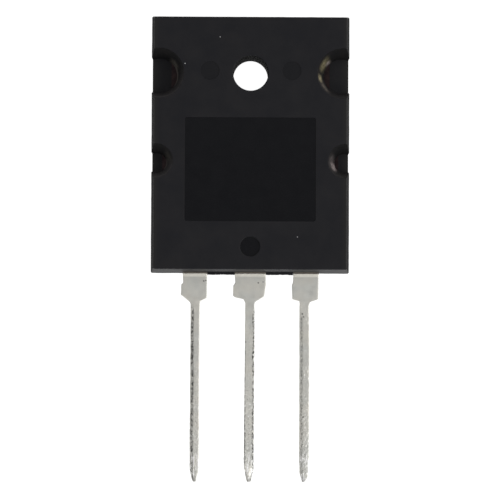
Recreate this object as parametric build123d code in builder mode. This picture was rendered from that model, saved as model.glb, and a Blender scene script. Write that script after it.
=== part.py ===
# Power transistor: a large flat moulded case with a screw hole, a copper header let into
# its back, and three flat leads out of one short side.
#
# The transistor lies on its back. +Z points out of the front face, the leads point to -Y,
# and the origin is the centre of the screw hole on the back face. Lengths are millimetres
# and angles are degrees.

import os

from build123d import *

os.makedirs("parts", exist_ok=True)

# ---- moulded case -------------------------------------------------------------------
case_width = 20.0            # across the parting line
case_height = 26.0           # along the leads, at the parting line
case_thickness = 5.0
case_draft = 7.0             # both halves lean in from the parting line
case_corner_radius = 0.12
front_edge_radius = 0.12
back_edge_radius = 0.1
hole_to_top_edge = 6.0
hole_diameter = 3.5
hole_rim_chamfer = 0.1

# ---- side notches, where the mould clamps the header --------------------------------
upper_notch_floor_radius = 1.8
upper_notch_inset = 0.8      # notch centre in from the side of the case
lower_notch_floor_radius = 1.0
lower_notch_inset = 0.53
notch_spacing = 8.8          # upper notch, level with the screw hole, to lower notch
notch_draft = 13.0

# ---- marks in the front face ----------------------------------------------------------
panel_width = 13.1           # polished panel
panel_height = 10.4
panel_below_middle = 2.65    # panel centre below the middle of the case
panel_depth = 0.05
panel_corner_radius = 0.2
index_mark_diameter = 2.0    # round recess near the leads
index_mark_depth = 0.2
index_mark_to_edge = 2.64    # mark centre to the lead side of the case
pin_mark_diameter = 1.9      # pair of shallow ejector marks beside the hole
pin_mark_depth = 0.05
pin_mark_spacing = 8.2
pin_mark_rise = 0.25         # above the hole's centre

# ---- leads ----------------------------------------------------------------------------
lead_pitch = 5.45
lead_height = 2.5            # underside of the leads above the back face
lead_thickness = 0.6
lead_length = 20.9           # case edge to lead tip
lead_width = 0.93
outer_shoulder_width = 2.5
centre_shoulder_width = 3.0
shoulder_length = 2.45       # down to the shoulder's outer corners
shoulder_slope = 0.45        # further drop from those corners to the lead
neck_radius = 0.3
tip_length = 1.9
tip_width = 0.36
stub_start = 1.05            # sheared stub of the dam bar, below the case edge
stub_length = 1.2
stub_proud = 0.2
web_proud = 0.17             # thin resin web left between the leads

# ---- bond posts, the inner ends of the outer leads -------------------------------------
post_width = 4.0
post_depth = 1.7
post_to_edge = 2.7           # post's inner edge to the lead side of the case
anchor_radius = 0.3          # half-round bites that lock each lead in the resin
anchor_to_edge = 0.75

# ---- header ---------------------------------------------------------------------------
header_thickness = 2.0
header_side_wall = 1.1       # resin beside the header's wide end
tab_side_wall = 2.0          # resin beside its narrower end, round the screw hole
header_to_top_edge = 1.8     # header's end to the top of the case
header_to_lead_edge = 3.2    # its other end to the lead side
header_tab_length = 7.6
header_corner_chamfer = 1.7
header_corner_radius = 0.5
header_hole_diameter = 4.6   # the case lines this hole
coined_inset = 0.6           # the back face is smaller, so resin wraps its edge
coined_height = 0.7
groove_width = 0.5           # two grooves that keep solder and damp from the die
groove_depth = 0.25
groove_to_die = 1.1
lead_root_run = 0.6          # centre lead's flat run before it bends up
bend_radius = 0.5

# ---- die and wires ----------------------------------------------------------------------
die_size = 6.2
die_thickness = 0.3
die_below_middle = 2.4       # die's centre below the middle of the case
solder_thickness = 0.08
solder_margin = 0.2
emitter_wire_diameter = 0.5
base_wire_diameter = 0.38
wire_sides = 12              # the round wires are drawn with flat sides, to stay light
wire_foot_ratio = 2.4        # length of each wire's pressed foot, in its own diameters
wire_squash_ratio = 1.5      # width of that foot, in the same
wire_top_to_front = 0.85     # top of the loop below the front face
emitter_foot_inset = 1.2     # wire feet in from the die's sides
emitter_foot_spacing = 1.5
base_foot_inset = 1.0
base_foot_rise = 1.2         # foot above the die's lower side
emitter_foot_rise = 3.0
emitter_post_spread = 1.3    # the two emitter wires on their post

# ---- places worked out from the sizes ----------------------------------------------------
top_edge = hole_to_top_edge
lead_edge = hole_to_top_edge - case_height
case_middle = hole_to_top_edge - case_height / 2
parting_height = lead_height
lead_top = lead_height + lead_thickness
lead_tip = lead_edge - lead_length
post_end = lead_edge + post_to_edge
post_start = post_end - post_depth
header_top = top_edge - header_to_top_edge
header_foot = lead_edge + header_to_lead_edge
header_width = case_width - 2 * header_side_wall
header_tab_width = case_width - 2 * tab_side_wall
tab_start = header_top - header_tab_length
panel_middle = case_middle - panel_below_middle
die_middle = case_middle - die_below_middle
die_seat = header_thickness + solder_thickness
die_top = die_seat + die_thickness
die_low_side = die_middle - die_size / 2


# ---- shapes used more than once -------------------------------------------------------------
def lead_outline(middle, shoulder_width, inner_end):
    """One lead's flat outline, from its inner end to its pointed tip."""
    shoulder = shoulder_width / 2
    half = lead_width / 2
    corner = lead_edge - shoulder_length
    neck = corner - shoulder_slope
    stub_top = lead_edge - stub_start
    stub_end = stub_top - stub_length
    with BuildSketch() as outline:
        with BuildLine():
            Polyline(
                (middle + shoulder, inner_end),
                (middle - shoulder, inner_end),
                (middle - shoulder, stub_top),
                (middle - shoulder - stub_proud, stub_top - stub_proud),
                (middle - shoulder - stub_proud, stub_end),
                (middle - shoulder, corner),
                (middle - half, neck),
                (middle - half, lead_tip + tip_length),
                (middle - tip_width / 2, lead_tip),
                (middle + tip_width / 2, lead_tip),
                (middle + half, lead_tip + tip_length),
                (middle + half, neck),
                (middle + shoulder, corner),
                close=True,
            )
        make_face()
        necks = [v for v in outline.vertices() if abs(v.Y - neck) < neck_radius / 10]
        fillet(necks, radius=neck_radius)
    return outline.sketch


def header_outline(inset):
    """The header's flat outline: a wide end for the die and a narrower one for the screw."""
    wide = header_width / 2
    narrow = header_tab_width / 2
    with BuildSketch() as outline:
        with BuildLine():
            Polyline(
                (-wide, header_foot),
                (wide, header_foot),
                (wide, tab_start),
                (narrow, tab_start + (wide - narrow)),
                (narrow, header_top - header_corner_chamfer),
                (narrow - header_corner_chamfer, header_top),
                (header_corner_chamfer - narrow, header_top),
                (-narrow, header_top - header_corner_chamfer),
                (-narrow, tab_start + (wide - narrow)),
                (-wide, tab_start),
                close=True,
            )
        make_face()
        offset(amount=-inset, kind=Kind.INTERSECTION)
        fillet(outline.vertices(), radius=header_corner_radius)
    return outline.sketch


def bond_wire(name, start, end, diameter):
    """Makes an arched wire with a flattened foot on the die and another on a bond post."""
    radius = diameter / 2
    run = Vector(end[0] - start[0], end[1] - start[1])
    along = run.normalized()
    side_plane = Plane(
        origin=(start[0], start[1], 0),
        x_dir=(along.X, along.Y, 0),
        z_dir=(along.Y, -along.X, 0),
    )
    foot_length = wire_foot_ratio * diameter
    foot_width = wire_squash_ratio * diameter
    with BuildPart() as wire:
        with BuildLine(side_plane) as arch:
            ThreePointArc(
                (0, die_top + radius),
                (run.length / 2, case_thickness - wire_top_to_front - radius),
                (run.length, lead_top + radius),
            )
        with BuildSketch(Plane(origin=arch.line @ 0, z_dir=arch.line % 0)):
            RegularPolygon(radius, side_count=wire_sides)
        sweep()
        for seat, spot in ((die_top, 0), (lead_top, run.length)):
            middle = side_plane.from_local_coords((spot, seat, 0))
            foot_plane = Plane(origin=middle, x_dir=(along.X, along.Y, 0), z_dir=(0, 0, 1))
            with BuildSketch(foot_plane):
                SlotOverall(foot_length, foot_width)
            extrude(amount=radius)
    wire.part.label = name
    return wire.part


def outer_lead(name, middle):
    """Makes an outer lead with the bond post that it widens to inside the case."""
    outline = lead_outline(middle, outer_shoulder_width, post_end)
    with BuildPart() as lead:
        with BuildSketch(Plane.XY.offset(lead_height)):
            add(outline)
            with Locations((middle, (post_start + post_end) / 2)):
                Rectangle(post_width, post_depth)
            with Locations((middle, lead_edge + anchor_to_edge)):
                with GridLocations(outer_shoulder_width, 0, 2, 1):
                    Circle(anchor_radius, mode=Mode.SUBTRACT)
        extrude(amount=lead_thickness)
    lead.part.label = name
    return lead.part


# ---- header and centre lead: one strip, thick at the header and thin at the lead ----------
back_outline = header_outline(coined_inset)
full_outline = header_outline(0)
centre_lead = lead_outline(0, centre_shoulder_width, lead_edge + anchor_to_edge)
with BuildPart() as collector_frame:
    with BuildSketch(Plane.XY):
        add(back_outline)
    extrude(amount=coined_height)
    with BuildSketch(Plane.XY.offset(coined_height)):
        add(full_outline)
    extrude(amount=header_thickness - coined_height)

    # the lead leaves the header's front face, bends up and runs out level
    root_line = header_thickness - lead_thickness / 2
    exit_line = lead_height + lead_thickness / 2
    ramp_start = header_foot - lead_root_run
    ramp_end = ramp_start - (exit_line - root_line)
    with BuildSketch(Plane.YZ):
        with BuildLine():
            FilletPolyline(
                (header_foot + bend_radius, root_line),
                (ramp_start, root_line),
                (ramp_end, exit_line),
                (lead_edge, exit_line),
                radius=bend_radius,
            )
        trace(line_width=lead_thickness)
    extrude(amount=centre_shoulder_width / 2, both=True)
    with BuildSketch(Plane.XY.offset(lead_height)):
        add(centre_lead)
    extrude(amount=lead_thickness)

    # grooves above and below the die
    with BuildSketch(Plane.YZ):
        with Locations((die_middle, header_thickness)):
            with GridLocations(die_size + 2 * groove_to_die, 0, 2, 1):
                Polygon(
                    (-groove_width / 2, 0),
                    (groove_width / 2, 0),
                    (0, -groove_depth),
                    align=None,
                )
    extrude(amount=header_width, both=True, mode=Mode.SUBTRACT)
    with Locations((0, 0, header_thickness)):
        Hole(header_hole_diameter / 2, depth=header_thickness)
collector_frame.part.label = "collector_frame"

# ---- outer leads ------------------------------------------------------------------------
base_lead = outer_lead("base_lead", -lead_pitch)
emitter_lead = outer_lead("emitter_lead", lead_pitch)

# ---- die and its solder -----------------------------------------------------------------
with BuildPart() as die_solder:
    with BuildSketch(Plane.XY.offset(header_thickness)):
        with Locations((0, die_middle)):
            RectangleRounded(
                die_size + 2 * solder_margin, die_size + 2 * solder_margin, solder_margin
            )
    extrude(amount=solder_thickness)
die_solder.part.label = "die_solder"

with BuildPart() as transistor_die:
    with BuildSketch(Plane.XY.offset(die_seat)):
        with Locations((0, die_middle)):
            Rectangle(die_size, die_size)
    extrude(amount=die_thickness)
transistor_die.part.label = "transistor_die"

# ---- bond wires ---------------------------------------------------------------------------
post_line_y = post_start + post_depth / 2
outer_foot = die_size / 2 - emitter_foot_inset
emitter_wires = []
for number in range(2):
    foot = (
        outer_foot - number * emitter_foot_spacing,
        die_low_side + emitter_foot_rise,
    )
    landing = (lead_pitch + emitter_post_spread * (0.5 - number), post_line_y)
    emitter_wires.append(
        bond_wire(f"emitter_wire_{number + 1}", foot, landing, emitter_wire_diameter)
    )
base_wire = bond_wire(
    "base_wire",
    (base_foot_inset - die_size / 2, die_low_side + base_foot_rise),
    (-lead_pitch, post_line_y),
    base_wire_diameter,
)

# ---- moulded case -------------------------------------------------------------------------
with BuildPart() as molded_case:
    with BuildSketch(Plane.XY.offset(parting_height)) as parting_outline:
        with Locations((0, case_middle)):
            Rectangle(case_width, case_height)
    extrude(amount=case_thickness - parting_height, taper=case_draft)
    extrude(parting_outline.sketch, amount=-parting_height, taper=case_draft)
    upright_edges = molded_case.edges().filter_by(Axis.Z, tolerance=2 * case_draft)
    fillet(upright_edges, radius=case_corner_radius)
    back_face = molded_case.faces().sort_by(Axis.Z)[0]
    fillet(back_face.edges(), radius=back_edge_radius)

    # conical side notches, down to the header's front face
    with BuildSketch(Plane.XY.offset(header_thickness)):
        with GridLocations(case_width - 2 * upper_notch_inset, 0, 2, 1):
            Circle(upper_notch_floor_radius)
        with Locations((0, -notch_spacing)):
            with GridLocations(case_width - 2 * lower_notch_inset, 0, 2, 1):
                Circle(lower_notch_floor_radius)
    extrude(
        amount=case_thickness - header_thickness, taper=-notch_draft, mode=Mode.SUBTRACT
    )
    front_face = molded_case.faces().sort_by(Axis.Z)[-1]
    fillet(front_face.edges(), radius=front_edge_radius)

    # screw hole, right through
    with Locations((0, 0, case_thickness)):
        Hole(hole_diameter / 2)
    front_face = molded_case.faces().sort_by(Axis.Z)[-1]
    hole_rims = [w.edges() for w in front_face.inner_wires()]
    chamfer(hole_rims[0], length=hole_rim_chamfer)

    # polished panel, index mark and ejector marks in the front face
    front_plane = Plane.XY.offset(case_thickness)
    with BuildSketch(front_plane):
        with Locations((0, panel_middle)):
            RectangleRounded(panel_width, panel_height, panel_corner_radius)
    extrude(amount=-panel_depth, mode=Mode.SUBTRACT)
    with BuildSketch(front_plane):
        with Locations((0, lead_edge + index_mark_to_edge)):
            Circle(index_mark_diameter / 2)
    extrude(amount=-index_mark_depth, mode=Mode.SUBTRACT)
    with BuildSketch(front_plane):
        with Locations((0, pin_mark_rise)):
            with GridLocations(pin_mark_spacing, 0, 2, 1):
                Circle(pin_mark_diameter / 2)
    extrude(amount=-pin_mark_depth, mode=Mode.SUBTRACT)

    # thin webs of resin squeezed out between the leads
    web_end = lead_pitch - outer_shoulder_width / 2
    with BuildSketch(Plane.XY.offset(lead_height)):
        with Locations((0, lead_edge)):
            Rectangle(2 * web_end, 2 * web_proud)
    extrude(amount=lead_thickness)

    # the resin flows round every inner piece
    add(collector_frame.part, mode=Mode.SUBTRACT)
    add(base_lead, mode=Mode.SUBTRACT)
    add(emitter_lead, mode=Mode.SUBTRACT)
    add(die_solder.part, mode=Mode.SUBTRACT)
    add(transistor_die.part, mode=Mode.SUBTRACT)
    add(base_wire, mode=Mode.SUBTRACT)
    add(emitter_wires, mode=Mode.SUBTRACT)
molded_case.part.label = "molded_case"

# ---- export -----------------------------------------------------------------------------------
pieces = [
    molded_case.part,
    collector_frame.part,
    base_lead,
    emitter_lead,
    die_solder.part,
    transistor_die.part,
    base_wire,
    *emitter_wires,
]
for piece in pieces:
    export_step(piece, f"parts/{piece.label}.step")
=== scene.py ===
import math

import bmesh
import bpy
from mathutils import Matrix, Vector, noise


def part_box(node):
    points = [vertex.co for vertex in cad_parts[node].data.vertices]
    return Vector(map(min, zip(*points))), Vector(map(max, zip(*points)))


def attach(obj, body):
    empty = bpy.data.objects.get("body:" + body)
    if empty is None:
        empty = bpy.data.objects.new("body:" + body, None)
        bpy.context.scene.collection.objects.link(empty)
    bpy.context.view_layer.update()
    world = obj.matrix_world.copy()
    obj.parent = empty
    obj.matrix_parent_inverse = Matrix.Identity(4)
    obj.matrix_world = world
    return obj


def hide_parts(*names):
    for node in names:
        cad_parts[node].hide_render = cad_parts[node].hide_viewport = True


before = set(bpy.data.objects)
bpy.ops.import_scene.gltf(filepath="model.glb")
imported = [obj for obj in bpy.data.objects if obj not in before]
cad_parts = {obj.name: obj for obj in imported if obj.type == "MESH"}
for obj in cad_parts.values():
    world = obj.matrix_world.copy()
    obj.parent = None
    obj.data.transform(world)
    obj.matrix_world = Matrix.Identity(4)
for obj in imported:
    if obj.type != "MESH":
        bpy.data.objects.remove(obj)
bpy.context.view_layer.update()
scene = bpy.context.scene

# Everything is modelled in millimetres and scaled to metres when a piece is finished.
millimetre = 0.001
caseLow, caseHigh = [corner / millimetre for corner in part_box("molded_case")]
leadLow, leadHigh = [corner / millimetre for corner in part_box("base_lead")]
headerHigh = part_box("collector_frame")[1] / millimetre
frontFace = caseHigh.z
partingLine = leadLow.z
leadMiddle = (leadLow.z + leadHigh.z) / 2
leadHalf = (leadHigh.z - leadLow.z) / 2
topEdge = caseHigh.y
leadTip = leadLow.y
print("frame loaded")


def nearly(value, target, margin=0.001):
    return abs(value - target) < margin


def blendBetween(low, high, value):
    share = min(1.0, max(0.0, (value - low) / (high - low)))
    return share * share * (3 - 2 * share)


def grain(point, size, seed):
    # smooth noise from -1 to 1 with lumps of about this size in millimetres
    return noise.noise(Vector(point) / size + Vector((seed, 2 * seed, 3 * seed)))


def moved(bm, x=0.0, y=0.0, z=0.0):
    bmesh.ops.translate(bm, vec=(x, y, z), verts=bm.verts)
    return bm


def splitThroughHole(bm):
    # split both ways through the screw hole, so that no flat face has an opening inside it
    for across in ((1, 0, 0), (0, 1, 0)):
        bmesh.ops.bisect_plane(
            bm, geom=bm.verts[:] + bm.edges[:] + bm.faces[:], plane_co=(0, 0, 0), plane_no=across
        )


def lathe(profile, segments):
    # turns a list of (radius, height) round the Z axis
    bm = bmesh.new()
    verts = [bm.verts.new((radius, 0, height)) for radius, height in profile]
    edges = [bm.edges.new(pair) for pair in zip(verts, verts[1:])]
    bmesh.ops.spin(
        bm, geom=verts + edges, cent=(0, 0, 0), axis=(0, 0, 1), dvec=(0, 0, 0),
        angle=2 * math.pi, steps=segments, use_merge=True,
    )
    bmesh.ops.remove_doubles(bm, verts=bm.verts, dist=0.00001)
    bmesh.ops.recalc_face_normals(bm, faces=bm.faces)
    return bm


def roundedRim(wallRadius, lean, rimRadius, steps):
    # the arc that rolls a hole's leaning wall over into the front face
    middleHeight = frontFace - rimRadius
    middle = wallRadius(middleHeight) + rimRadius / math.cos(lean)
    almostFlat = math.radians(85)
    points = []
    for step in range(steps + 1):
        turn = lean + (almostFlat - lean) * step / steps
        points.append((middle - rimRadius * math.cos(turn), middleHeight + rimRadius * math.sin(turn)))
    return points


def newVerts(made):
    # the vertices among what an extrude made
    return [item for item in made if isinstance(item, bmesh.types.BMVert)]


def prism(outline, offset):
    # a closed block, drawn out from a flat outline
    bm = bmesh.new()
    bmesh.ops.contextual_create(bm, geom=[bm.verts.new(point) for point in outline])
    made = bmesh.ops.extrude_face_region(bm, geom=bm.faces[:])["geom"]
    bmesh.ops.translate(bm, vec=offset, verts=newVerts(made))
    bmesh.ops.recalc_face_normals(bm, faces=bm.faces)
    return bm


def temporaryObject(bm, name):
    mesh = bpy.data.meshes.new(name)
    bm.to_mesh(mesh)
    bm.free()
    made = bpy.data.objects.new(name, mesh)
    scene.collection.objects.link(made)
    return made


def combined(body, tool, operation):
    # a boolean of two bmeshes, given back as a new one
    bodyObject = temporaryObject(body, "body")
    toolObject = temporaryObject(tool, "tool")
    cut = bodyObject.modifiers.new("cut", "BOOLEAN")
    cut.object = toolObject
    cut.operation = operation
    cut.solver = "MANIFOLD"
    shaped = bodyObject.evaluated_get(bpy.context.evaluated_depsgraph_get())
    result = bmesh.new()
    result.from_mesh(shaped.to_mesh())
    shaped.to_mesh_clear()
    for used in (bodyObject, toolObject):
        mesh = used.data
        bpy.data.objects.remove(used)
        bpy.data.meshes.remove(mesh)
    return result


def finishedPiece(bm, name, material, sharpAngle):
    bmesh.ops.scale(bm, vec=(millimetre,) * 3, verts=bm.verts)
    mesh = bpy.data.meshes.new(name)
    bm.to_mesh(mesh)
    bm.free()
    mesh.materials.append(material)
    mesh.shade_smooth()
    mesh.set_sharp_from_angle(angle=math.radians(sharpAngle))
    piece = bpy.data.objects.new(name, mesh)
    scene.collection.objects.link(piece)
    print(f"{name}: {len(mesh.polygons)} faces")
    return piece


# Materials: small helpers, then one function for each finish.
def newMaterial(name):
    material = bpy.data.materials.new(name)
    material.use_nodes = True
    tree = material.node_tree
    tree.nodes.clear()
    output = tree.nodes.new("ShaderNodeOutputMaterial")
    shader = tree.nodes.new("ShaderNodeBsdfPrincipled")
    tree.links.new(shader.outputs["BSDF"], output.inputs["Surface"])
    coordinates = tree.nodes.new("ShaderNodeTexCoord")
    inMillimetres = tree.nodes.new("ShaderNodeMapping")
    inMillimetres.inputs["Scale"].default_value = (1 / millimetre,) * 3
    tree.links.new(coordinates.outputs["Object"], inMillimetres.inputs["Vector"])
    return material, tree, shader, inMillimetres.outputs["Vector"]


def noisePattern(tree, vector, size, detail=2.0, roughness=0.5, stretch=None):
    texture = tree.nodes.new("ShaderNodeTexNoise")
    texture.inputs["Scale"].default_value = 1 / size
    texture.inputs["Detail"].default_value = detail
    texture.inputs["Roughness"].default_value = roughness
    if stretch:
        mapping = tree.nodes.new("ShaderNodeMapping")
        mapping.inputs["Scale"].default_value = stretch
        tree.links.new(vector, mapping.inputs["Vector"])
        vector = mapping.outputs["Vector"]
    tree.links.new(vector, texture.inputs["Vector"])
    return texture.outputs["Fac"]


def ranged(tree, value, fromLow, fromHigh, toLow, toHigh):
    mapRange = tree.nodes.new("ShaderNodeMapRange")
    for name, number in zip(("From Min", "From Max", "To Min", "To Max"), (fromLow, fromHigh, toLow, toHigh)):
        mapRange.inputs[name].default_value = number
    tree.links.new(value, mapRange.inputs["Value"])
    return mapRange.outputs["Result"]


def mixedColour(tree, share, first, second):
    mix = tree.nodes.new("ShaderNodeMix")
    mix.data_type = "RGBA"
    tree.links.new(share, mix.inputs["Factor"])
    for socket, colour in ((mix.inputs["A"], first), (mix.inputs["B"], second)):
        if isinstance(colour, tuple):
            socket.default_value = (*colour, 1.0)
        else:
            tree.links.new(colour, socket)
    return mix.outputs["Result"]


def combinedValue(tree, operation, first, second):
    maths = tree.nodes.new("ShaderNodeMath")
    maths.operation = operation
    for socket, value in zip(maths.inputs, (first, second)):
        if isinstance(value, (int, float)):
            socket.default_value = value
        else:
            tree.links.new(value, socket)
    return maths.outputs["Value"]


def axesOf(tree, vector):
    separate = tree.nodes.new("ShaderNodeSeparateXYZ")
    tree.links.new(vector, separate.inputs["Vector"])
    return separate.outputs


def attribute(tree, name, output="Fac"):
    node = tree.nodes.new("ShaderNodeAttribute")
    node.attribute_name = name
    return node.outputs[output]


def bumped(tree, shader, layers):
    # a chain of bumps: (height, depth in millimetres)
    normal = None
    for height, depth in layers:
        bump = tree.nodes.new("ShaderNodeBump")
        bump.inputs["Strength"].default_value = 1.0
        bump.inputs["Distance"].default_value = depth * millimetre
        tree.links.new(height, bump.inputs["Height"])
        if normal:
            tree.links.new(normal, bump.inputs["Normal"])
        normal = bump.outputs["Normal"]
    tree.links.new(normal, shader.inputs["Normal"])


def speck(tree, place, centre, size):
    # one where a grain lies, falling to nothing at its edge
    away = tree.nodes.new("ShaderNodeVectorMath")
    away.operation = "DISTANCE"
    away.inputs[1].default_value = centre
    tree.links.new(place, away.inputs[0])
    return ranged(tree, away.outputs["Value"], 0.5 * size, size, 1.0, 0.0)


resinFinish = {
    "base": (0.0058, 0.0059, 0.0082),
    "cloud": (0.0094, 0.0090, 0.0108),
    "polished": (0.0017, 0.0018, 0.0032),
    # painted highlight near the long edges
    "paintedEdgeSheen": (0.0135, 0.0132, 0.0125),
    "roughness": 0.56,
    "polishedRoughness": 0.24,
    "specular": 0.2,
    "cloudSize": 2.6,
    "grainSize": 0.10,
    "grainDepth": 0.006,
    "swellSize": 3.5,
    "swellDepth": 0.03,
    "patchSize": 1.1,
    "paintedEdgeSheenFrom": 9.1,  # from the middle towards the long edges
    "paintedEdgeSheenTo": 9.8,
    # filler grains that sparkle faintly
    "fillerSize": 0.05,
    "fillerShare": 0.35,
    "filler": (0.03, 0.03, 0.032),
    # (place on the front face, size) of pale grains in the surface
    "specks": (((-3.08, 3.62), 0.06), ((4.73, -16.40), 0.06), ((-6.58, 0.94), 0.07)),
    "speckColour": (0.42, 0.42, 0.42),
}


sideFinish = {
    "base": (0.0075, 0.0075, 0.0080),
    "cloud": (0.0110, 0.0105, 0.0105),
    # painted light on the notch walls and collars
    "paintedPale": (0.030, 0.028, 0.029),
    "roughness": 0.92,
    "specular": 0.06,
    "cloudSize": 1.4,
    "grainSize": 0.08,
    "grainDepth": 0.008,
}


# skins of resin, with painted glints in the gold and pink
skinAndGlintFinish = {
    "gold": (0.32, 0.28, 0.16),
    "pink": (0.40, 0.34, 0.33),
    "grey": (0.075, 0.070, 0.062),
    "fleckSize": 0.32,
    "thinnest": 0.3,
}


def skinsAndGlintsOver(tree, place, colour):
    # thin skins of resin and release wax in the notches and on the collars; the gold and pink on the notch
    # walls are partly skin and partly painted glints
    f = skinAndGlintFinish
    parts = tree.nodes.new("ShaderNodeSeparateColor")
    tree.links.new(attribute(tree, "skinAndGlint", "Color"), parts.inputs["Color"])
    flecks = ranged(tree, noisePattern(tree, place, f["fleckSize"]), 0.32, 0.66, f["thinnest"], 1.0)
    for part, tint in (("Red", "gold"), ("Green", "pink"), ("Blue", "grey")):
        amount = combinedValue(tree, "MULTIPLY", parts.outputs[part], flecks)
        colour = mixedColour(tree, amount, colour, f[tint])
    return colour


def makeCaseResin():
    material, tree, shader, place = newMaterial("caseResin")
    r = resinFinish
    cloudy = noisePattern(tree, place, r["cloudSize"], detail=4.0, roughness=0.6)
    clouds = ranged(tree, cloudy, 0.35, 0.65, 0.0, 1.0)
    plain = mixedColour(tree, clouds, r["base"], r["cloud"])
    polish = attribute(tree, "polish")
    colour = mixedColour(tree, polish, plain, r["polished"])
    sparkle = noisePattern(tree, place, r["fillerSize"], detail=0.0)
    filler = ranged(tree, sparkle, 0.72, 0.80, 0.0, r["fillerShare"])
    colour = mixedColour(tree, filler, colour, r["filler"])
    for (speckX, speckY), size in r["specks"]:
        grainShare = speck(tree, place, (speckX, speckY, frontFace), size)
        colour = mixedColour(tree, grainShare, colour, r["speckColour"])
    # painted highlight: the face is painted a little lighter towards the long edges
    fromMiddle = combinedValue(tree, "ABSOLUTE", axesOf(tree, place)["X"], 0.0)
    paintedEdgeSheen = ranged(tree, fromMiddle, r["paintedEdgeSheenFrom"], r["paintedEdgeSheenTo"], 0.0, 1.0)
    colour = mixedColour(tree, paintedEdgeSheen, colour, r["paintedEdgeSheen"])
    tree.links.new(skinsAndGlintsOver(tree, place, colour), shader.inputs["Base Color"])
    patches = noisePattern(tree, place, r["patchSize"], detail=3.0)
    patchy = ranged(tree, patches, 0.3, 0.7, -0.03, 0.03)
    smoothness = combinedValue(tree, "MULTIPLY", polish, r["polishedRoughness"] - r["roughness"])
    roughness = combinedValue(tree, "ADD", combinedValue(tree, "ADD", smoothness, patchy), r["roughness"])
    tree.links.new(roughness, shader.inputs["Roughness"])
    shader.inputs["Specular IOR Level"].default_value = r["specular"]
    fineGrain = noisePattern(tree, place, r["grainSize"], detail=3.0, roughness=0.7)
    dull = combinedValue(tree, "SUBTRACT", 1.0, combinedValue(tree, "MULTIPLY", polish, 0.85))
    texture = combinedValue(tree, "MULTIPLY", fineGrain, dull)
    swell = noisePattern(tree, place, r["swellSize"])
    bumped(tree, shader, ((swell, r["swellDepth"]), (texture, r["grainDepth"])))
    return material


def makeSideResin():
    # the coarser walls at the sides and in the screw hole
    material, tree, shader, place = newMaterial("sideResin")
    s = sideFinish
    cloudy = noisePattern(tree, place, s["cloudSize"], detail=4.0, roughness=0.6)
    clouds = ranged(tree, cloudy, 0.35, 0.65, 0.0, 1.0)
    colour = mixedColour(tree, clouds, s["base"], s["cloud"])
    # painted light: paler where the walls face up the case, and on the collars
    colour = mixedColour(tree, attribute(tree, "paintedPaleness"), colour, s["paintedPale"])
    tree.links.new(skinsAndGlintsOver(tree, place, colour), shader.inputs["Base Color"])
    shader.inputs["Roughness"].default_value = s["roughness"]
    shader.inputs["Specular IOR Level"].default_value = s["specular"]
    pitted = noisePattern(tree, place, s["grainSize"], detail=3.0, roughness=0.7)
    bumped(tree, shader, ((pitted, s["grainDepth"]),))
    return material


tinFinish = {
    "bright": (0.71, 0.69, 0.63),
    "cool": (0.65, 0.65, 0.61),
    # painted highlight at the lead roots, against the case's shade
    "paintedRootLight": (1.0, 0.97, 0.88),
    # dark colour for dross, pits and marks, and for painted shade on the facets
    "dross": (0.045, 0.045, 0.043),
    "dull": (0.34, 0.34, 0.33),
    # painted glint colour
    "paintedGlint": (1.0, 0.99, 0.97),
    # copper colours with painted shade
    "copper": (0.032, 0.022, 0.022),
    "copperDark": (0.018, 0.013, 0.0145),
    "roughness": 0.38,
    "driftSize": 1.7,
    "fleckSize": 0.17,
    "pitSize": 0.20,
    "strokeSize": 0.13,
    "tarnishSize": 0.5,
    "patchSize": 0.6,
    "rolledSize": 0.12,
    "rolledDepth": 0.003,
    "dimpleSize": 0.14,
    "dimpleDepth": 0.006,
    "pitDepth": 0.02,
    # where along Y each of these begins and is full
    "paintedRootLightSpan": (-20.42, -20.26),
    "worn": (-23.5, -34.0),
    "coined": (-37.9, -38.5),
    "darkTip": (-40.2, -40.8),
    # (place on the leads, size) of dark marks
    "marks": (
        ((0.86, -20.95), 0.10), ((1.34, -20.86), 0.07), ((-4.62, -20.78), 0.10), ((-4.42, -20.74), 0.09),
        ((5.30, -24.05), 0.10), ((5.42, -24.35), 0.09), ((-0.40, -26.9), 0.10), ((5.42, -34.4), 0.11),
    ),
    "markStrength": 0.8,
}


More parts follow.
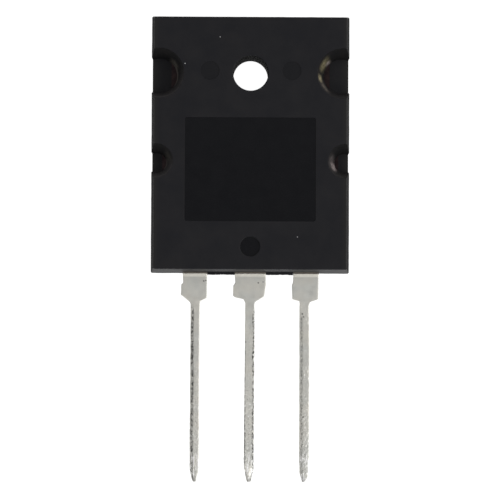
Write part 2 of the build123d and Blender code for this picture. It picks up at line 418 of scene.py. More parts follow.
def makeTinnedCopper():
    material, tree, shader, place = newMaterial("tinnedCopper")
    t = tinFinish
    along = axesOf(tree, place)["Y"]
    drift = ranged(tree, noisePattern(tree, place, t["driftSize"], detail=3.0), 0.35, 0.65, 0.0, 1.0)
    tin = mixedColour(tree, drift, t["bright"], t["cool"])
    # painted highlight: the roots next to the case are painted paler and warmer
    tin = mixedColour(tree, ranged(tree, along, *t["paintedRootLightSpan"], 0.0, 1.0), tin, t["paintedRootLight"])
    # oxide and flux left where the dip drained, in flecks that thicken towards the tips; the flecks on the
    # sloping facets along the edges are partly painted shade
    dross = attribute(tree, "dross")
    wear = ranged(tree, along, *t["worn"], 0.0, 1.0)
    flecks = noisePattern(tree, place, t["fleckSize"], detail=4.0, roughness=0.75, stretch=(1.0, 0.6, 1.0))
    dark = combinedValue(tree, "MULTIPLY", dross, ranged(tree, flecks, 0.46, 0.54, 0.0, 1.0))
    colour = mixedColour(tree, combinedValue(tree, "MULTIPLY", dross, 0.2), tin, t["dull"])
    colour = mixedColour(tree, dark, colour, t["dross"])
    # pits, and painted glints between them
    scattered = noisePattern(tree, place, t["pitSize"], detail=5.0, roughness=0.8)
    pits = combinedValue(tree, "MULTIPLY", wear, ranged(tree, scattered, 0.39, 0.35, 0.0, 0.9))
    colour = mixedColour(tree, pits, colour, t["dross"])
    worn = combinedValue(tree, "MAXIMUM", wear, combinedValue(tree, "MULTIPLY", dross, 0.7))
    glints = combinedValue(tree, "MULTIPLY", worn, ranged(tree, scattered, 0.58, 0.63, 0.0, 1.0))
    colour = mixedColour(tree, glints, colour, t["paintedGlint"])
    for (markX, markY), size in t["marks"]:
        mark = speck(tree, place, (markX, markY, leadHigh.z), size)
        strength = combinedValue(tree, "MULTIPLY", mark, t["markStrength"])
        colour = mixedColour(tree, strength, colour, t["dross"])
    # painted glints in strokes on the coined points, and dark ends
    coined = ranged(tree, along, *t["coined"], 0.0, 1.0)
    strokes = noisePattern(tree, place, t["strokeSize"], stretch=(1.0, 0.12, 1.0))
    paintedStreakGlints = combinedValue(tree, "MULTIPLY", coined, ranged(tree, strokes, 0.52, 0.57, 0.0, 1.0))
    colour = mixedColour(tree, paintedStreakGlints, colour, t["paintedGlint"])
    darkTip = ranged(tree, along, *t["darkTip"], 0.0, 0.85)
    colour = mixedColour(tree, combinedValue(tree, "MULTIPLY", darkTip, flecks), colour, t["dross"])
    # bare copper on the header's front face and sides, dark with oxide and painted darker still for the shade
    # in the notches
    tarnish = noisePattern(tree, place, t["tarnishSize"], detail=4.0, roughness=0.6)
    tarnished = ranged(tree, tarnish, 0.35, 0.65, 0.0, 1.0)
    copper = mixedColour(tree, tarnished, t["copper"], t["copperDark"])
    colour = mixedColour(tree, attribute(tree, "bare"), colour, copper)
    tree.links.new(colour, shader.inputs["Base Color"])
    shader.inputs["Metallic"].default_value = 1.0
    patches = noisePattern(tree, place, t["patchSize"], detail=4.0, roughness=0.6)
    roughness = ranged(tree, patches, 0.3, 0.7, t["roughness"] - 0.07, t["roughness"] + 0.09)
    tree.links.new(roughness, shader.inputs["Roughness"])
    rolled = noisePattern(tree, place, t["rolledSize"], stretch=(1.0, 0.06, 1.0))
    dimples = noisePattern(tree, place, t["dimpleSize"], detail=3.0, roughness=0.6)
    pitted = combinedValue(tree, "MULTIPLY", scattered, wear)
    bumped(tree, shader, ((rolled, t["rolledDepth"]), (dimples, t["dimpleDepth"]), (pitted, t["pitDepth"])))
    return material


def makeInnerMetal(name, colour, dark, roughness, grainSize):
    # for the pieces sealed in the resin
    material, tree, shader, place = newMaterial(name)
    pattern = noisePattern(tree, place, grainSize, detail=3.0)
    tree.links.new(mixedColour(tree, pattern, colour, dark), shader.inputs["Base Color"])
    patchy = ranged(tree, pattern, 0.3, 0.7, roughness - 0.05, roughness + 0.1)
    tree.links.new(patchy, shader.inputs["Roughness"])
    shader.inputs["Metallic"].default_value = 1.0
    bumped(tree, shader, ((pattern, 0.002),))
    return material


# The moulded case.
caseSizes = {
    "height": 26.0,
    "draft": 7.0,
    "cornerRadius": 0.15,
    "frontEdge": 0.11,
    "backEdge": 0.08,
    "partingRidge": 0.03,
    "partingWidth": 0.05,
    "holeRadius": 1.75,
    "holeRim": 0.12,
    "upperNotch": {"inset": 0.8, "floorRadius": 1.8, "y": 0.0},
    "lowerNotch": {"inset": 0.53, "floorRadius": 1.0, "y": -8.8},
    "notchDraft": 13.0,
    "notchRim": 0.08,
    "notchFloor": 1.98,
    "notchCorner": 0.06,
    "notchRipple": 0.012,
    "notchChipping": 0.035,
    "panel": {"width": 13.1, "height": 10.4, "y": -9.65, "depth": 0.05, "corner": 0.2},
    "indexMark": {"radius": 1.0, "depth": 0.2, "rim": 0.06, "fromEdge": 2.64},
    "pinMarks": {"radius": 0.95, "depth": 0.05, "rim": 0.02, "x": 4.1, "y": 0.25},
    "web": {"inner": 1.5, "outer": 4.35, "proud": 0.16, "shy": 0.04, "cuts": 44},
    "webEdge": {"setBack": 0.02, "fine": 0.04, "coarse": 0.05, "waver": 0.03},
    "collar": {"proud": 0.08, "low": 3.05, "top": 3.4, "cuts": 30, "ragged": 0.04, "clear": 0.01},
}
overshoot = 0.3  # how far most cutters reach past the face they open
notchOvershoot = 0.4
leadEdge = topEdge - caseSizes["height"]
caseMiddle = topEdge - caseSizes["height"] / 2


def makeCaseBody():
    s = caseSizes
    ridge = s["partingRidge"]
    bm = bmesh.new()
    bmesh.ops.create_cube(bm, size=1.0)
    bmesh.ops.scale(
        bm, vec=(caseHigh.x - caseLow.x - 2 * ridge, s["height"] - 2 * ridge, frontFace), verts=bm.verts
    )
    moved(bm, y=caseMiddle, z=frontFace / 2)

    def bevelWhere(test, offset, segments):
        edges = [edge for edge in bm.edges if test(*[vert.co for vert in edge.verts])]
        bmesh.ops.bevel(
            bm, geom=edges, offset=offset, segments=segments, profile=0.5, affect="EDGES", material=-1
        )

    def level(height):
        # a test for the edges that lie at this height
        return lambda a, b: nearly(a.z, height) and nearly(b.z, height)

    bevelWhere(lambda a, b: not nearly(a.z, b.z), s["cornerRadius"], 5)
    bmesh.ops.bisect_plane(
        bm, geom=bm.verts[:] + bm.edges[:] + bm.faces[:], plane_co=(0, 0, partingLine), plane_no=(0, 0, 1)
    )
    for vert in bm.verts:
        lean = math.tan(math.radians(s["draft"])) * abs(vert.co.z - partingLine)
        vert.co.x -= math.copysign(lean, vert.co.x)
        vert.co.y -= math.copysign(lean, vert.co.y - caseMiddle)
    bevelWhere(level(frontFace), s["frontEdge"], 5)
    bevelWhere(level(0), s["backEdge"], 3)
    splitThroughHole(bm)

    # the parting line: a fine uneven ridge where the two mould halves met
    bevelWhere(level(partingLine), s["partingWidth"], 2)
    reach = s["partingWidth"] + 0.01
    band = [
        edge for edge in bm.edges
        if all(nearly(vert.co.z, partingLine, reach) for vert in edge.verts) and edge.calc_length() > 1
    ]
    bmesh.ops.subdivide_edges(bm, edges=band, cuts=90, use_grid_fill=True)
    for vert in bm.verts:
        if nearly(vert.co.z, partingLine):
            outward = Vector((vert.co.x, vert.co.y - caseMiddle, 0))
            side = Vector((math.copysign(1, outward.x), 0, 0))
            if abs(outward.y) / s["height"] > abs(outward.x) / (caseHigh.x - caseLow.x):
                side = Vector((0, math.copysign(1, outward.y), 0))
            vert.co += side * ridge * (0.6 + 0.38 * grain(vert.co, 0.7, 5))
    return bm


def addStrip(bm, x, z, width, height, proud):
    # a strip of resin that stands this far out of the case between or over the leads
    depth = 0.5
    strip = bmesh.ops.create_cube(bm, size=1.0)["verts"]
    bmesh.ops.scale(bm, vec=(width, depth, height), verts=strip)
    bmesh.ops.translate(bm, vec=(x, leadEdge + depth / 2 - proud, z), verts=strip)


def subdivideAlong(bm, cuts):
    # cuts up the edges that run along X
    along = [edge for edge in bm.edges if nearly(edge.verts[0].co.y, edge.verts[1].co.y)
             and nearly(edge.verts[0].co.z, edge.verts[1].co.z)]
    bmesh.ops.subdivide_edges(bm, edges=along, cuts=cuts, use_grid_fill=True)


def makeWebs():
    # thin resin squeezed out between the leads, with a ragged edge
    w, edge = caseSizes["web"], caseSizes["webEdge"]
    bm = bmesh.new()
    for side in (-1, 1):
        inner, outer = w["inner"] * side, w["outer"] * side
        addStrip(bm, (inner + outer) / 2, leadMiddle, abs(outer - inner), 2 * leadHalf - w["shy"], w["proud"])
    subdivideAlong(bm, w["cuts"])
    for vert in bm.verts:
        if vert.co.y < leadEdge:
            ragged = edge["fine"] * grain(vert.co, 0.12, 9) + edge["coarse"] * grain(vert.co, 0.5, 4)
            vert.co.y += max(0.0, edge["setBack"] + ragged)
            vert.co.z += edge["waver"] * grain(vert.co, 0.2, 7)
    return bm


def makeCollars():
    # resin drawn a little way out over the root of each lead
    c = caseSizes["collar"]
    middle, height = (c["top"] + c["low"]) / 2, c["top"] - c["low"]
    bm = bmesh.new()
    for shape in leadShapes.values():
        left = shape["centre"] - shape["left"][0][1]
        right = shape["centre"] + shape["right"][0][1]
        addStrip(bm, (left + right) / 2, middle, right - left, height, c["proud"])
    subdivideAlong(bm, c["cuts"])
    lean = math.tan(math.radians(caseSizes["draft"]))
    for vert in bm.verts:
        if vert.co.y < leadEdge:
            if nearly(vert.co.z, c["top"]):
                vert.co.y = leadEdge + lean * (c["top"] - partingLine) + c["clear"]
            else:
                vert.co.y += c["ragged"] * max(0.0, 0.3 + grain(vert.co, 0.3, 13))
    return bm


def makeNotchCutter(notch, side):
    s = caseSizes
    lean = math.radians(s["notchDraft"])
    floor, corner = s["notchFloor"], s["notchCorner"]

    def wallRadius(height):
        return notch["floorRadius"] + (height - floor) * math.tan(lean)

    arc = roundedRim(wallRadius, lean, s["notchRim"], 6)
    wall = [(0, floor), (notch["floorRadius"] - corner, floor)]
    rows = 12
    for row in range(rows):
        height = floor + corner + (arc[0][1] - 0.1 - floor) * row / rows
        wall.append((wallRadius(height), height))
    above = frontFace + notchOvershoot
    bm = lathe(wall + arc + [(arc[-1][0], above), (0, above)], 96)
    centre = Vector((side * (caseHigh.x - notch["inset"]), notch["y"], 0))
    moved(bm, centre.x, centre.y)
    for vert in bm.verts:
        outward = Vector((vert.co.x, vert.co.y, 0)) - centre
        if outward.length > notch["floorRadius"] * 0.9 and vert.co.z < frontFace + 0.1:
            # rippled all over, and chipped near the front
            wear = blendBetween(frontFace - 1.2, frontFace - 0.1, vert.co.z)
            push = s["notchRipple"] * grain(vert.co, 0.35, 3)
            push += wear * s["notchChipping"] * max(0, grain(vert.co, 0.3, 11))
            vert.co += outward.normalized() * push
    return bm


def makeDimpleCutter(mark):
    radius, rim = mark["radius"], mark["rim"]
    floor, above = frontFace - mark["depth"], frontFace + overshoot
    arc = roundedRim(lambda height: radius, 0.0, rim, 3)
    profile = [(0, floor), (radius - rim / 2, floor), (radius, floor + rim / 2)] + arc
    return lathe(profile + [(arc[-1][0], above), (0, above)], 72)


def makeHoleCutter():
    s = caseSizes
    above = frontFace + overshoot
    front = roundedRim(lambda height: s["holeRadius"], 0.0, s["holeRim"], 4)
    back = [(radius, frontFace - height) for radius, height in reversed(front)]
    profile = [(0, -overshoot), (back[0][0], -overshoot)] + back + front
    return lathe(profile + [(front[-1][0], above), (0, above)], 96)


def makePanelCutter():
    p = caseSizes["panel"]
    thick = 1.0
    bm = bmesh.new()
    bmesh.ops.create_cube(bm, size=1.0)
    bmesh.ops.scale(bm, vec=(p["width"], p["height"], thick), verts=bm.verts)
    upright = [edge for edge in bm.edges if not nearly(edge.verts[0].co.z, edge.verts[1].co.z)]
    bmesh.ops.bevel(
        bm, geom=upright, offset=p["corner"], segments=4, profile=0.5, affect="EDGES", material=-1
    )
    return moved(bm, 0, p["y"], frontFace + thick / 2 - p["depth"])


headerSizes = {
    "length": 21.0,
    "thickness": 2.0,
    "tabHalf": 8.0,
    "tabLength": 7.6,
    "cornerChamfer": 1.7,
    "cornerRadius": 0.5,
    "holeRadius": 2.3,
    "coinedInset": 0.6,
    "coinedHeight": 0.7,
    "backRim": 0.05,
}


def roundedOutline(corners, inset, radius, steps):
    # a closed outline moved inwards, with an arc at each corner
    points = []
    for index, (x, y) in enumerate(corners):
        lastX, lastY = corners[index - 1]
        nextX, nextY = corners[(index + 1) % len(corners)]
        heading = math.atan2(y - lastY, x - lastX)
        turn = math.remainder(math.atan2(nextY - y, nextX - x) - heading, math.tau)
        side = math.copysign(1, turn)
        reach = (inset + side * radius) / math.cos(turn / 2)
        inwards = heading + turn / 2 + math.pi / 2
        for step in range(steps + 1):
            spoke = heading + turn * step / steps - side * math.pi / 2
            points.append((
                x + reach * math.cos(inwards) + radius * math.cos(spoke),
                y + reach * math.sin(inwards) + radius * math.sin(spoke),
            ))
    return points


def outlineBlock(corners, inset, low, high):
    # an upright block on the rounded outline
    outline = roundedOutline(corners, inset, headerSizes["cornerRadius"], 5)
    bm = prism([(x, y, high) for x, y in outline], (0, 0, low - high))
    splitThroughHole(bm)
    return bm


def makeHeaderBlank():
    # the header's outline, thick, with its back face coined smaller
    h = headerSizes
    wide, narrow = headerHigh.x, h["tabHalf"]
    top, foot = headerHigh.y, headerHigh.y - h["length"]
    shoulder = top - h["tabLength"]
    right = [
        (wide, foot), (wide, shoulder), (narrow, shoulder + wide - narrow),
        (narrow, top - h["cornerChamfer"]), (narrow - h["cornerChamfer"], top),
    ]
    corners = right + [(-x, y) for x, y in reversed(right)]
    body = outlineBlock(corners, 0.0, h["coinedHeight"], h["thickness"])
    coined = outlineBlock(corners, h["coinedInset"], 0.0, h["coinedHeight"] + 0.5)
    return combined(body, coined, "UNION")


def makeBore():
    # cuts the header's hole, and reaches further than the pocket does
    radius = headerSizes["holeRadius"]
    low, high = -1.0, headerSizes["thickness"] + 1.0
    return lathe([(0, low), (radius, low), (radius, high), (0, high)], 72)


def makePocketCutter():
    # the header's form without its hole, reaching past the back face so that the cut is clean
    pocket = makeHeaderBlank()
    for vert in pocket.verts:
        if nearly(vert.co.z, 0):
            vert.co.z = -overshoot
    return combined(pocket, makeBore(), "DIFFERENCE")


# Skins and painted glints in each notch: (gold, pink, grey), bearing from the notch's middle, half spread,
# and lowest and highest point.
notchSkinsAndGlints = (
    ("upperNotch", 1, (
        ((0.6, 0.0, 0.0), 150, 28, 1.9, 4.8),
        ((0.0, 0.5, 0.0), 137, 14, 1.7, 3.2),
        ((1.1, 0.1, 0.0), 190, 13, 2.8, 5.0),
        ((0.15, 0.2, 0.0), 214, 26, 2.2, 4.8),
    )),
    ("lowerNotch", 1, (
        ((0.0, 0.22, 0.0), 180, 44, 1.5, 5.0),
        ((0.0, 0.9, 0.0), 204, 30, 1.2, 4.1),
    )),
    ("upperNotch", -1, (
        ((0.05, 0.04, 0.9), 36, 24, 1.3, 3.6),
        ((0.0, 0.45, 1.3), 2, 42, 1.3, 2.5),
    )),
    ("lowerNotch", -1, (
        ((0.0, 0.2, 0.9), -8, 40, 1.3, 2.6),
        ((0.03, 0.0, 0.35), 20, 34, 1.8, 4.7),
    )),
)


# the skin on the collars' upper faces, partly a painted glint
collarSkinAndGlint = (0.22, 0.22, 0.6, 1.0)


def skinAndGlintAt(spot, height, skins):
    # how much gold, pink and grey lies on one point of a notch wall
    tint = Vector((0.0, 0.0, 0.0))
    for colour, bearing, spread, low, high in skins:
        turn = (math.degrees(math.atan2(spot.y, spot.x)) - bearing + 180) % 360 - 180
        rise = (height - (low + high) / 2) / ((high - low) / 2)
        share = max(0.0, 1 - (turn / spread) ** 2) * max(0.0, 1 - rise ** 2)
        tint += Vector(colour) * share ** 1.6
    return (*[min(1.0, part) for part in tint], 1.0)


def paintNotchWall(face, skinAndGlint, paintedPaleness):
    s = caseSizes
    widening = (frontFace - s["notchFloor"]) * math.tan(math.radians(s["notchDraft"]))
    for notchName, side, skins in notchSkinsAndGlints:
        notch = s[notchName]
        centre = Vector((side * (caseHigh.x - notch["inset"]), notch["y"]))
        farthest = max((vert.co.xy - centre).length for vert in face.verts)
        if farthest > notch["floorRadius"] + widening + 0.15:
            continue
        face.material_index = 1
        for loop in face.loops:
            spot = loop.vert.co.xy - centre
            loop[skinAndGlint] = skinAndGlintAt(spot, loop.vert.co.z, skins)
            # painted light: the walls that look up the case are painted paler than those that look down it,
            # the left notches more than the right
            loop[paintedPaleness] = (0.72 - 0.2 * side) * blendBetween(0.55, -0.45, spot.y / max(spot.length, 0.1))


def paintCase(bm):
    # marks the polished faces, the coarser walls, and the skins, painted glints and painted paleness on the
    # notch walls and collars
    s = caseSizes
    polish = bm.faces.layers.float.new("polish")
    skinAndGlint = bm.loops.layers.float_color.new("skinAndGlint")
    paintedPaleness = bm.loops.layers.float.new("paintedPaleness")
    polishedFloors = [frontFace - s[mark]["depth"] for mark in ("panel", "indexMark")]
    pin, c = s["pinMarks"], s["collar"]
    for face in bm.faces:
        middle = face.calc_center_median()
        flat = face.normal.z > 0.9
        outer = abs(face.normal.x) > 0.9 and abs(middle.x) > caseHigh.x - 1 and abs(face.normal.z) < 0.2
        bore = math.hypot(middle.x, middle.y) < s["holeRadius"] + 0.02 and abs(face.normal.z) < 0.3
        face.material_index = 1 if outer or bore else 0
        if flat and any(nearly(middle.z, floor, 0.004) for floor in polishedFloors):
            face[polish] = 1.0
        if flat and math.hypot(abs(middle.x) - pin["x"], middle.y - pin["y"]) < pin["radius"]:
            face[polish] = 0.5
        for loop in face.loops:
            loop[skinAndGlint] = (0.0, 0.0, 0.0, 1.0)
            loop[paintedPaleness] = 0.0
        if flat or not s["notchFloor"] < middle.z < frontFace:
            continue
        # the collars' upper faces get the skin and a painted pale sheen
        if c["low"] < middle.z < c["top"] and middle.y < leadEdge + 0.1 and face.normal.z > 0.2:
            face.material_index = 1
            for loop in face.loops:
                loop[skinAndGlint] = collarSkinAndGlint
                loop[paintedPaleness] = 1.0
        paintNotchWall(face, skinAndGlint, paintedPaleness)


def makeCase(material, sideMaterial):
    s = caseSizes
    bm = makeCaseBody()
    bm = combined(bm, makeWebs(), "UNION")
    bm = combined(bm, makeCollars(), "UNION")
    cutters = [makeNotchCutter(s[name], side) for name in ("upperNotch", "lowerNotch") for side in (-1, 1)]
    cutters += [makeHoleCutter(), makePanelCutter()]
    cutters.append(moved(makeDimpleCutter(s["indexMark"]), y=leadEdge + s["indexMark"]["fromEdge"]))
    pin = s["pinMarks"]
    cutters += [moved(makeDimpleCutter(pin), side * pin["x"], pin["y"]) for side in (-1, 1)]
    cutters.append(makePocketCutter())
    for cutter in cutters:
        bm = combined(bm, cutter, "DIFFERENCE")
    bmesh.ops.remove_doubles(bm, verts=bm.verts, dist=0.0005)
    paintCase(bm)
    piece = finishedPiece(bm, "moldedCase", material, sharpAngle=38)
    piece.data.materials.append(sideMaterial)
    weighted = piece.modifiers.new("faceNormals", "WEIGHTED_NORMAL")
    weighted.keep_sharp = True
    weighted.weight = 80
    return piece


# The leads. Each outline is (distance below the case, half width) on each side of the lead's middle.
leadShapes = {
    "baseLead": {
        "centre": -5.45,
        "innerEnd": -2.7,
        "left": [(0, 1.29), (0.99, 1.25), (1.12, 1.42), (1.29, 1.46), (1.69, 1.45), (2.2, 1.49), (2.3, 1.3),
                 (2.9, 0.58), (3.1, 0.49), (3.9, 0.50), (12.7, 0.51), (18.4, 0.53),
                 (19.8, 0.50), (20.5, 0.34), (20.8, 0.24), (20.9, 0.14)],
        "right": [(0, 1.18), (2.49, 1.15), (2.79, 0.50), (3.1, 0.46), (3.9, 0.45), (14.8, 0.42), (18.4, 0.44),
                  (19.3, 0.44), (19.9, 0.38), (20.5, 0.26), (20.8, 0.16), (20.9, 0.10)],
        "seed": 1.7,
        "corner": 0.10,
        "facets": (
            {"side": -1, "from": 0.20, "start": 3.0, "drop": 0.20, "dross": 0.95, "band": 1.0},
        ),
    },
    "centreLead": {
        "centre": 0.0,
        "innerEnd": -0.75,
        "left": [(0, 1.52), (0.96, 1.46), (1.26, 1.66), (2.27, 1.68), (2.45, 1.45), (2.57, 0.65),
                 (2.97, 0.44), (3.9, 0.45), (18.4, 0.52), (19.4, 0.52), (20.7, 0.25), (20.9, 0.16)],
        "right": [(0, 1.61), (1.15, 1.64), (2.31, 1.47), (2.87, 0.56), (3.12, 0.5), (3.9, 0.51), (18.3, 0.46),
                  (19.5, 0.47), (19.9, 0.40), (20.2, 0.30), (20.8, 0.22), (20.9, 0.16)],
        "seed": 4.3,
        "corner": 0.09,
        "facets": (
            {"side": 1, "from": 0.52, "start": 3.2, "drop": 0.03, "dross": 1.0, "band": 2.0},
            {"side": -1, "from": 0.74, "start": 7.0, "drop": 0.0, "dross": 0.8, "band": 2.0},
            {"side": 1, "from": 0.10, "start": 18.6, "drop": 0.15, "dross": 0.0, "band": 2.0},
        ),
    },
    "emitterLead": {
        "centre": 5.45,
        "innerEnd": -2.7,
        "left": [(0, 1.07), (0.93, 1.1), (1.14, 1.21), (1.44, 1.21), (2.62, 1.16), (2.75, 0.45), (3.05, 0.43),
                 (3.9, 0.45), (18.3, 0.42), (20.0, 0.39), (20.9, 0.13)],
        "right": [(0, 1.49), (2.59, 1.46), (2.84, 0.66), (3.25, 0.51), (3.9, 0.53), (7.7, 0.6), (18.3, 0.57),
                  (20.1, 0.54), (20.5, 0.40), (20.8, 0.20), (20.9, 0.12)],
        "seed": 8.9,
        "corner": 0.09,
        "facets": (
            {"side": -1, "from": 0.20, "start": 3.6, "drop": 0.12, "dross": 0.55, "band": 0.85},
            {"side": 1, "from": 0.62, "start": 3.4, "drop": 0.012, "dross": 0.0, "band": 2.0},
        ),
    },
}
# places along a lead are distances below the case, and below zero they are inside it
leadDetail = {
    "step": 0.06,
    "innerStep": 0.15,
    "flatSteps": 16,
    "sideSteps": 6,
    "cornerSteps": 4,
    "shoulderCorner": 0.07,
    "postHalf": 2.0,
    "postLength": 1.7,
    "anchorAt": -0.75,
    "anchorRadius": 0.3,
    "dipStart": 3.0,
    "dipLength": 0.8,
    "outlineBlur": 0.05,
    "tipSpan": (19.6, 20.9),
    "tipThinning": 0.3,
    "lumpSize": 0.9,
    "lumpDepth": 0.022,
    "ripple": 0.020,
    "pitting": 0.018,
    "pittingSpan": (6.0, 15.0),
    "pitSizes": (0.15, 0.17),
    "facetWobble": 0.16,
    "bandFade": 0.85,
}


def widthAt(points, distance):
    for (startAt, startWidth), (endAt, endWidth) in zip(points, points[1:]):
        if distance <= endAt:
            share = max(0.0, (distance - startAt) / (endAt - startAt))
            return startWidth + (endWidth - startWidth) * share
    return points[-1][1]


def sideWidth(shape, side, distance):
    d = leadDetail
    if distance < 0:
        half = shape[side][0][1]
        if distance < shape["innerEnd"] + d["postLength"] and shape["innerEnd"] < -1:
            half = d["postHalf"]
        bite = d["anchorRadius"] ** 2 - (distance - d["anchorAt"]) ** 2
        if bite > 0 and shape["innerEnd"] < -1:
            half -= math.sqrt(bite)
        return half
    blur = d["outlineBlur"]
    return sum(widthAt(shape[side], max(0.0, distance + shift)) for shift in (-blur, 0, blur)) / 3


def sectionSteps():
    # the closed section as (flat x, flat z, corner x, corner z), counter-clockwise from the right side
    d = leadDetail
    steps = []
    corners = ((1, 1, 0), (-1, 1, 90), (-1, -1, 180), (1, -1, 270))
    for index, (signX, signZ, turn) in enumerate(corners):
        for step in range(d["cornerSteps"]):
            angle = math.radians(turn + 90 * step / d["cornerSteps"])
            steps.append((signX, signZ, math.cos(angle), math.sin(angle)))
        count = d["flatSteps"] if index % 2 == 0 else d["sideSteps"]
        angle = math.radians(turn + 90)
        for step in range(count):
            share = 1 - 2 * step / count
            if index % 2 == 0:
                steps.append((signX * share, signZ, 0.0, math.sin(angle)))
            else:
                steps.append((signX, signZ * share, math.cos(angle), 0.0))
    return steps


def leadPoint(shape, distance, step):
    # where one vertex of the section lies, and how much dross and painted shade it carries
    d = leadDetail
    flatX, flatZ, cornerX, cornerZ = step
    seed = shape["seed"]
    dipped = blendBetween(d["dipStart"], d["dipStart"] + d["dipLength"], distance)
    tipShare = blendBetween(*d["tipSpan"], distance)
    left, right = sideWidth(shape, "left", distance), sideWidth(shape, "right", distance)
    middle, half = (right - left) / 2, (right + left) / 2
    thick = leadHalf * (1 - d["tipThinning"] * tipShare)
    corner = d["shoulderCorner"] + (shape["corner"] - d["shoulderCorner"]) * dipped
    corner = min(corner, 0.8 * half, 0.8 * thick)
    x = middle + flatX * (half - corner) + cornerX * corner
    z = flatZ * (thick - corner) + cornerZ * corner
    y = leadEdge - distance
    dross = 0.0
    # the sloping facets carry dross and painted shade
    for index, facet in enumerate(shape["facets"] if z > 0 else ()):
        facetSeed = seed + 17 * index
        across = facet["side"] * (x - middle) / half
        wobble = d["facetWobble"] * grain((0, y, 0), 1.3, facetSeed + 20)
        ramp = max(0.0, (across - facet["from"] - wobble) / (1 - facet["from"]))
        begins = blendBetween(facet["start"], facet["start"] + 1.0, distance)
        strength = begins * (0.75 + 0.5 * grain((0, y, 1), 0.8, facetSeed + 31)) * (1 - 0.5 * tipShare)
        z -= min(ramp, 1.0) * facet["drop"] * strength
        faded = 1 - d["bandFade"] * blendBetween(facet["band"] - 0.25, facet["band"], across)
        faded *= blendBetween(0.3 * leadHalf, 0.8 * leadHalf, z)
        dross += facet["dross"] * min(1.0, 3.0 * ramp) * begins * faded
    here = Vector((x, y, z))
    lumps = dipped * d["lumpDepth"] * (1 + 0.8 * grain((0, y, 2), 2.5, seed))
    rough = dipped * d["ripple"] * max(0.0, 0.5 + 1.2 * grain((x, y, 3), 1.6, seed + 7))
    offset = Vector((grain(here, d["lumpSize"], seed), 0, grain(here, d["lumpSize"], seed + 40)))
    rough += d["pitting"] * blendBetween(*d["pittingSpan"], distance)
    pitWidth, pitHeight = d["pitSizes"]
    fine = Vector((grain(here, pitWidth, seed + 50), 0, grain(here, pitHeight, seed + 60)))
    here += offset * lumps + fine * rough
    return Vector((shape["centre"] + here.x, here.y, leadMiddle + here.z)), dross


def makeLead(shape):
    d = leadDetail
    steps = sectionSteps()
    length = leadEdge - leadTip
    bm = bmesh.new()
    order = bm.verts.layers.int.new("order")
    dross = bm.verts.layers.float.new("dross")
    ring = bmesh.ops.create_circle(bm, segments=len(steps), radius=1.0)["verts"]
    for index, vert in enumerate(ring):
        vert[order] = index

    def place(verts, distance):
        for vert in verts:
            vert.co, vert[dross] = leadPoint(shape, distance, steps[vert[order]])

    distance = shape["innerEnd"]
    place(ring, distance)
    edges = bm.edges[:]
    bmesh.ops.contextual_create(bm, geom=edges)
    while distance < length:
        distance = min(length, distance + (d["innerStep"] if distance < 0 else d["step"]))
        made = bmesh.ops.extrude_edge_only(bm, edges=edges)["geom"]
        place(newVerts(made), distance)
        edges = [item for item in made if isinstance(item, bmesh.types.BMEdge) and item.is_boundary]
    bmesh.ops.contextual_create(bm, geom=edges)
    bmesh.ops.recalc_face_normals(bm, faces=bm.faces)
    return bm


# The centre lead's bent root. The bends are distances below the header's foot, and the root is a hair
# slimmer than the lead, so that the two join without a shared edge.
rootSizes = {
    "half": 1.46,
    "shy": 0.02,
    "upperBends": (0.55, 1.75),
    "lowerBends": (0.3, 1.5),
    "intoHeader": 0.5,
    "intoCase": 0.3,
}


def makeLeadRoot():
    r = rootSizes
    foot = headerHigh.y - headerSizes["length"]
    start, end = foot + r["intoHeader"], leadEdge + r["intoCase"]
    low, high, thick = headerSizes["thickness"], leadHigh.z, 2 * leadHalf
    upper = [(foot - r["upperBends"][0], low), (foot - r["upperBends"][1], high - r["shy"])]
    lower = [(foot - r["lowerBends"][1], high - thick + r["shy"]), (foot - r["lowerBends"][0], low - thick)]
    profile = [(start, low), *upper, (end, upper[1][1]), (end, lower[0][1]), *lower, (start, low - thick)]
    return prism([(-r["half"], y, z) for y, z in profile], (2 * r["half"], 0, 0))


def makeCollectorFrame(material):
    bm = combined(makeHeaderBlank(), makeBore(), "DIFFERENCE")
    backRim = [edge for edge in bm.edges if all(nearly(vert.co.z, 0) for vert in edge.verts)
               and any(abs(face.normal.z) < 0.5 for face in edge.link_faces)]
    bmesh.ops.bevel(
        bm, geom=backRim, offset=headerSizes["backRim"], segments=2, profile=0.5, affect="EDGES", material=-1
    )
    bm = combined(bm, makeLeadRoot(), "UNION")
    bm = combined(bm, makeLead(leadShapes["centreLead"]), "UNION")
    # only the back face and the lead are tinned
    bare = bm.faces.layers.float.new("bare")
    for face in bm.faces:
        middle = face.calc_center_median()
        face[bare] = 1.0 if middle.z > 0.3 and middle.y > leadEdge + 1 else 0.0
    return finishedPiece(bm, "collectorFrame", material, sharpAngle=50)


resin = makeCaseResin()
tin = makeTinnedCopper()
case = makeCase(resin, makeSideResin())
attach(case, "root")
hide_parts("molded_case")
print("case made")

for name, node in (("baseLead", "base_lead"), ("emitterLead", "emitter_lead")):
    lead = finishedPiece(makeLead(leadShapes[name]), name, tin, sharpAngle=50)
    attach(lead, "root")
    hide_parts(node)
collector = makeCollectorFrame(tin)
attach(collector, "root")
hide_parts("collector_frame")
print("leads and header made")

# node: (material, colour, darker colour, roughness, grain size)
innerFinishes = {
    "die_solder": ("dieSolder", (0.42, 0.42, 0.40), (0.30, 0.30, 0.29), 0.45, 0.3),
    "transistor_die": ("silicon", (0.16, 0.17, 0.19), (0.11, 0.12, 0.14), 0.2, 0.8),
    "base_wire": ("baseWireMetal", (0.78, 0.78, 0.78), (0.66, 0.66, 0.67), 0.25, 0.1),
    "emitter_wire_1": ("emitterWireMetal", (0.78, 0.78, 0.78), (0.64, 0.64, 0.65), 0.25, 0.1),
}
innerMetals = {node: makeInnerMetal(*finish) for node, finish in innerFinishes.items()}
innerMetals["emitter_wire_2"] = innerMetals["emitter_wire_1"]
for node, metal in innerMetals.items():
    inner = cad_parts[node]
    inner.data.materials.clear()
    inner.data.materials.append(metal)
print("sealed pieces finished")


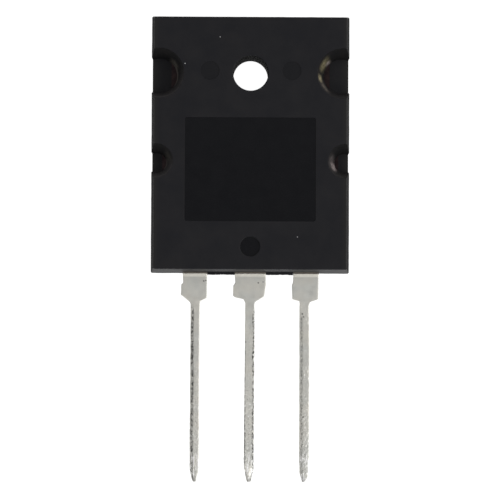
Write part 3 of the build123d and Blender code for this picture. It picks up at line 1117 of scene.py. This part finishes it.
# The stage: a pale light table, a soft dome that is darker on the left, and two large soft lamps.
stage = {
    "floorHalf": 1.5,
    "floorGlow": 1.0,
    "floorColour": (0.2, 0.2, 0.2),
    "floorRoughness": 0.9,
    "floorSpecular": 0.1,
    "floorDrop": 0.00002,
    # (sine of the elevation, brightness)
    "domeLeft": (
        (0.0, 0.95), (0.05, 0.90), (0.14, 0.30), (0.5, 0.36), (0.75, 0.50),
        (0.93, 0.66), (0.985, 0.62), (0.994, 0.42), (1.0, 0.30),
    ),
    "domeRight": (
        (0.0, 0.95), (0.05, 0.98), (0.14, 1.05), (0.5, 0.95), (0.75, 0.80),
        (0.93, 0.68), (0.985, 0.62), (0.994, 0.42), (1.0, 0.30),
    ),
    # (place, size, power)
    "lamps": (((0.36, -0.10, 0.24), 0.5, 0.7), ((-0.10, -0.40, 0.26), 0.4, 0.35)),
    "lampsAim": (0.0, -0.012, 0.0),
}


def makeFloor():
    bm = bmesh.new()
    bmesh.ops.create_grid(bm, x_segments=1, y_segments=1, size=stage["floorHalf"])
    mesh = bpy.data.meshes.new("floor")
    bm.to_mesh(mesh)
    bm.free()
    material, _, shader, _ = newMaterial("paleFloor")
    shader.inputs["Base Color"].default_value = (*stage["floorColour"], 1.0)
    shader.inputs["Roughness"].default_value = stage["floorRoughness"]
    shader.inputs["Specular IOR Level"].default_value = stage["floorSpecular"]
    shader.inputs["Emission Color"].default_value = (1.0, 1.0, 1.0, 1.0)
    shader.inputs["Emission Strength"].default_value = stage["floorGlow"]
    mesh.materials.append(material)
    floor = bpy.data.objects.new("floor", mesh)
    floor.location.z = -stage["floorDrop"]
    scene.collection.objects.link(floor)


def makeDome():
    world = bpy.data.worlds.new("softDome")
    world.use_nodes = True
    tree = world.node_tree
    tree.nodes.clear()
    output = tree.nodes.new("ShaderNodeOutputWorld")
    background = tree.nodes.new("ShaderNodeBackground")
    coordinates = tree.nodes.new("ShaderNodeTexCoord")
    axes = axesOf(tree, coordinates.outputs["Generated"])
    halves = []
    for side in ("domeLeft", "domeRight"):
        ramp = tree.nodes.new("ShaderNodeValToRGB")
        tree.links.new(axes["Z"], ramp.inputs["Fac"])
        stops = ramp.color_ramp.elements
        while len(stops) < len(stage[side]):
            stops.new(0.5)
        for stop, (position, value) in zip(stops, stage[side]):
            stop.position = position
            stop.color = (value, value, value, 1.0)
        halves.append(ramp.outputs["Color"])
    towardsRight = ranged(tree, axes["X"], -0.7, 0.7, 0.0, 1.0)
    tree.links.new(mixedColour(tree, towardsRight, *halves), background.inputs["Color"])
    tree.links.new(background.outputs["Background"], output.inputs["Surface"])
    scene.world = world


def makeLamps():
    for number, (place, size, power) in enumerate(stage["lamps"], start=1):
        lamp = bpy.data.lights.new(f"softLamp{number}", "AREA")
        lamp.size = size
        lamp.energy = power
        holder = bpy.data.objects.new(lamp.name, lamp)
        holder.location = place
        aim = Vector(stage["lampsAim"]) - Vector(place)
        holder.rotation_euler = aim.to_track_quat("-Z", "Y").to_euler()
        scene.collection.objects.link(holder)


# The camera looks straight down on the part from a quarter of a metre, a little from the lead side.
cameraPlace = {
    "location": (-0.001295, -0.027265, 0.250),
    "turnDegrees": (2.229, -0.313, 0.253),
    "lens": 176.9,
    "sensor": 36.0,
}


def makeCamera():
    c = cameraPlace
    data = bpy.data.cameras.new("camera")
    data.lens = c["lens"]
    data.sensor_width = c["sensor"]
    data.clip_start = 0.01
    camera = bpy.data.objects.new("camera", data)
    camera.location = c["location"]
    camera.rotation_euler = [math.radians(turn) for turn in c["turnDegrees"]]
    scene.collection.objects.link(camera)
    scene.camera = camera


makeFloor()
makeDome()
makeLamps()
makeCamera()
scene.view_settings.view_transform = "Standard"
scene.view_settings.look = "None"
print("stage, lamps and camera placed")
